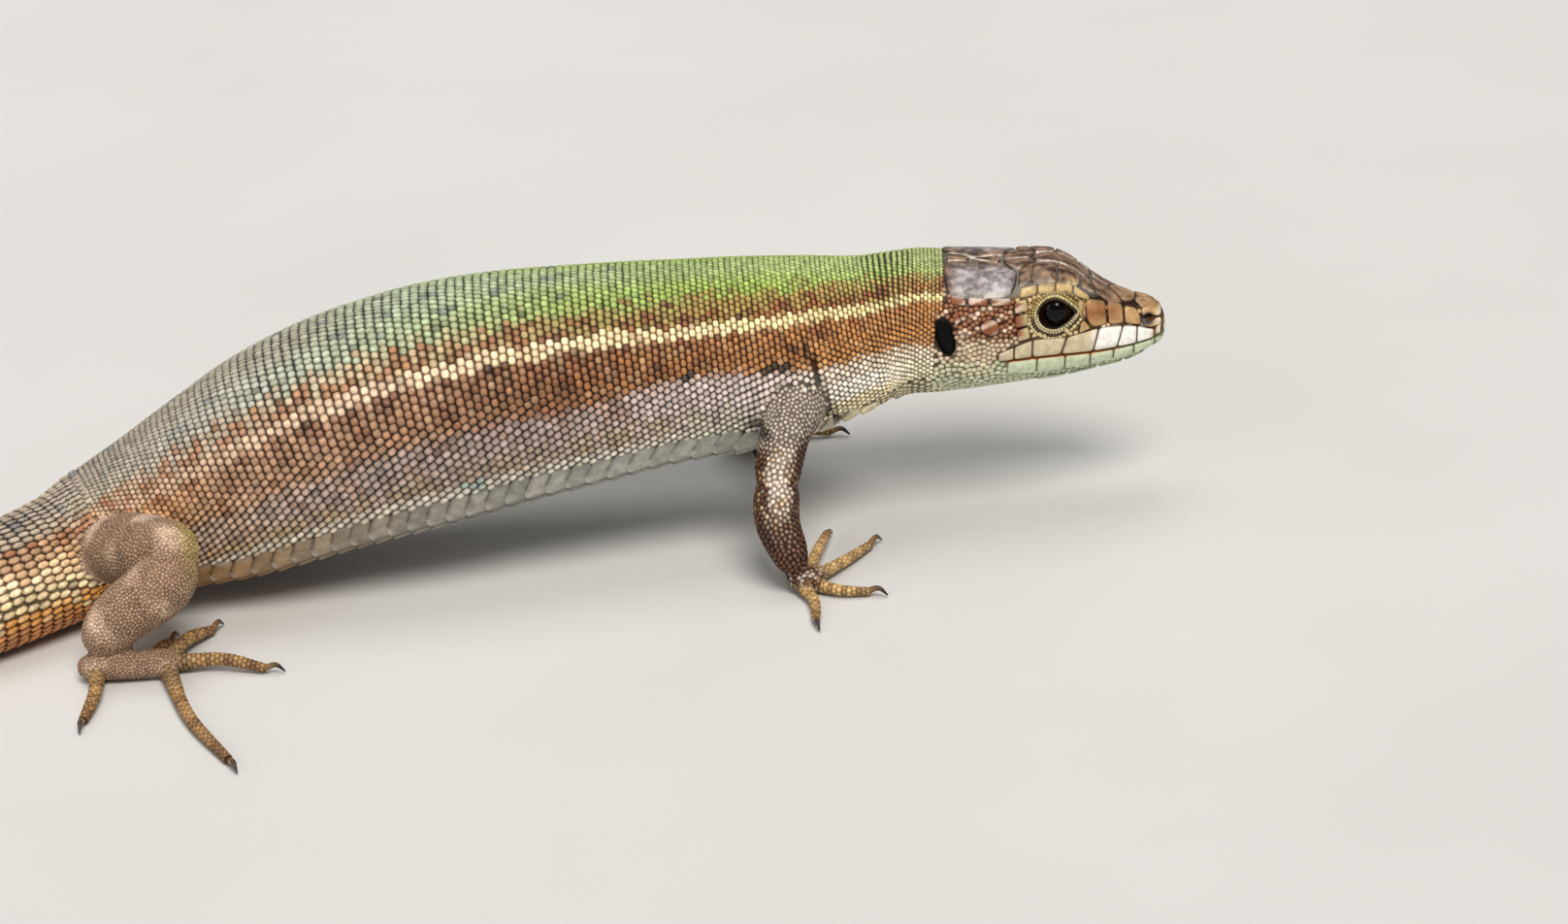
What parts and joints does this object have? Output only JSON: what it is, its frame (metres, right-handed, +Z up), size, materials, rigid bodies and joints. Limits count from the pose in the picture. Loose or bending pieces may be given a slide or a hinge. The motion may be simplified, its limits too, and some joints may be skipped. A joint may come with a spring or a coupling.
{
  "type": "wall lizard model",
  "caption": "Life-size still model of a wall lizard standing on a flat floor, with raised head, plump body, splayed toes and a long tail in a slow S.",
  "frame": {"origin": "on the floor, under the centre of the bounding box", "axes": "+X towards the snout, -Y the animal's right side, +Z up"},
  "size_m": [0.1854, 0.0496, 0.0186],
  "materials": {
    "head_skin": "smooth brown-grey head shields with pale seams, cream lips",
    "body_skin": "fine beaded scales, green back, brown flank band, cream stripe",
    "tail_skin": "rings of keeled scales, grey-brown above, orange-cream below",
    "leg_skin": "small pearly scales on brown skin",
    "toe_skin": "yellow-tan ringed toes with dark claws",
    "claw": "dark polished horn",
    "eye": "wet, dark brown iris round a black pupil",
    "eardrum": "dark smooth membrane"
  },
  "bodies": {
    "root": {"head": "head_skin", "neck": "body_skin", "torso": "body_skin", "hips": "body_skin", "tail_1": "tail_skin", "tail_2": "tail_skin", "tail_3": "tail_skin", "tail_4": "tail_skin", "eye_right": "eye", "eye_left": "eye", "ear_right": "eardrum", "ear_left": "eardrum", "fore_right_upper": "leg_skin", "fore_right_lower": "leg_skin", "fore_right_foot": "leg_skin", "fore_right_toe_1": "toe_skin", "fore_right_toe_2": "toe_skin", "fore_right_toe_3": "toe_skin", "fore_right_toe_4": "toe_skin", "fore_right_toe_5": "toe_skin", "fore_left_upper": "leg_skin", "fore_left_lower": "leg_skin", "fore_left_foot": "leg_skin", "fore_left_toe_1": "toe_skin", "fore_left_toe_2": "toe_skin", "fore_left_toe_3": "toe_skin", "fore_left_toe_4": "toe_skin", "fore_left_toe_5": "toe_skin", "hind_right_upper": "leg_skin", "hind_right_lower": "leg_skin", "hind_right_foot": "leg_skin", "hind_right_toe_1": "toe_skin", "hind_right_toe_2": "toe_skin", "hind_right_toe_3": "toe_skin", "hind_right_toe_4": "toe_skin", "hind_right_toe_5": "toe_skin", "hind_left_upper": "leg_skin", "hind_left_lower": "leg_skin", "hind_left_foot": "leg_skin", "hind_left_toe_1": "toe_skin", "hind_left_toe_2": "toe_skin", "hind_left_toe_3": "toe_skin", "hind_left_toe_4": "toe_skin", "hind_left_toe_5": "toe_skin"}
  },
  "joints": []
}
